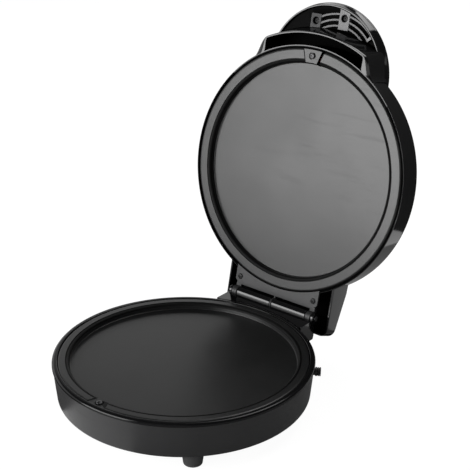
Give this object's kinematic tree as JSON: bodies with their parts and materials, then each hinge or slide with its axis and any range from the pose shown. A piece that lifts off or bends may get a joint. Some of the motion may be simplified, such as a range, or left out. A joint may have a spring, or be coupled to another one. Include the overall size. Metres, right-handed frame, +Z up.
{
  "type": "electric pizza maker",
  "caption": "Countertop cooker with two round non-stick plates in hinged black bodies, shown with its lid standing open.",
  "frame": {"origin": "on the standing surface, at the centre of the open object's box seen from above", "axes": "+Z up, -Y towards the user, +X to the user's right; the hinge runs along X"},
  "size_m": [0.3506, 0.51, 0.4841],
  "materials": {
    "gloss_black_plastic": "gloss",
    "satin_black_plastic": "satin",
    "matte_black_plastic": "matte",
    "non_stick_coating": "satin",
    "steel_fastener": "satin",
    "heater_sheath": "matte",
    "reflector_sheet": "satin",
    "foot_rubber": "matte",
    "gland_rubber": "matte",
    "ceramic_white": "matte",
    "red_lens": "gloss",
    "green_lens": "gloss"
  },
  "bodies": {
    "base": {"base_shell": "satin_black_plastic", "bottom_cover": "matte_black_plastic", "lower_plate": "non_stick_coating", "lower_plate_screw": "steel_fastener", "lower_heating_element": "heater_sheath", "lower_reflector_pan": "reflector_sheet", "lower_thermostat": "ceramic_white", "thermal_fuse": "steel_fastener", "terminal_block": "ceramic_white", "cord_gland": "gland_rubber", "hinge_block": "gloss_black_plastic", "hinge_pin": "steel_fastener", "front_left_foot": "foot_rubber", "front_left_foot_screw": "steel_fastener", "front_right_foot": "foot_rubber", "front_right_foot_screw": "steel_fastener", "rear_left_foot": "foot_rubber", "rear_left_foot_screw": "steel_fastener", "rear_right_foot": "foot_rubber", "rear_right_foot_screw": "steel_fastener"},
    "lid": {"lid_shell": "gloss_black_plastic", "grip_plate": "satin_black_plastic", "upper_plate": "non_stick_coating", "upper_plate_screw": "steel_fastener", "upper_heating_element": "heater_sheath", "upper_reflector_pan": "reflector_sheet", "upper_thermostat": "ceramic_white", "hinge_tongue": "matte_black_plastic", "power_lamp_lens": "red_lens", "ready_lamp_lens": "green_lens", "grip_screw_left": "steel_fastener", "grip_screw_right": "steel_fastener", "tongue_screw_left": "steel_fastener", "tongue_screw_right": "steel_fastener"}
  },
  "joints": [
    {"name": "lid_hinge", "type": "hinge", "parent": "base", "child": "lid", "pos_m": [0, 0.11505, 0.0717], "axis": [1, 0, 0], "range_deg": [0, 102.2]}
  ]
}
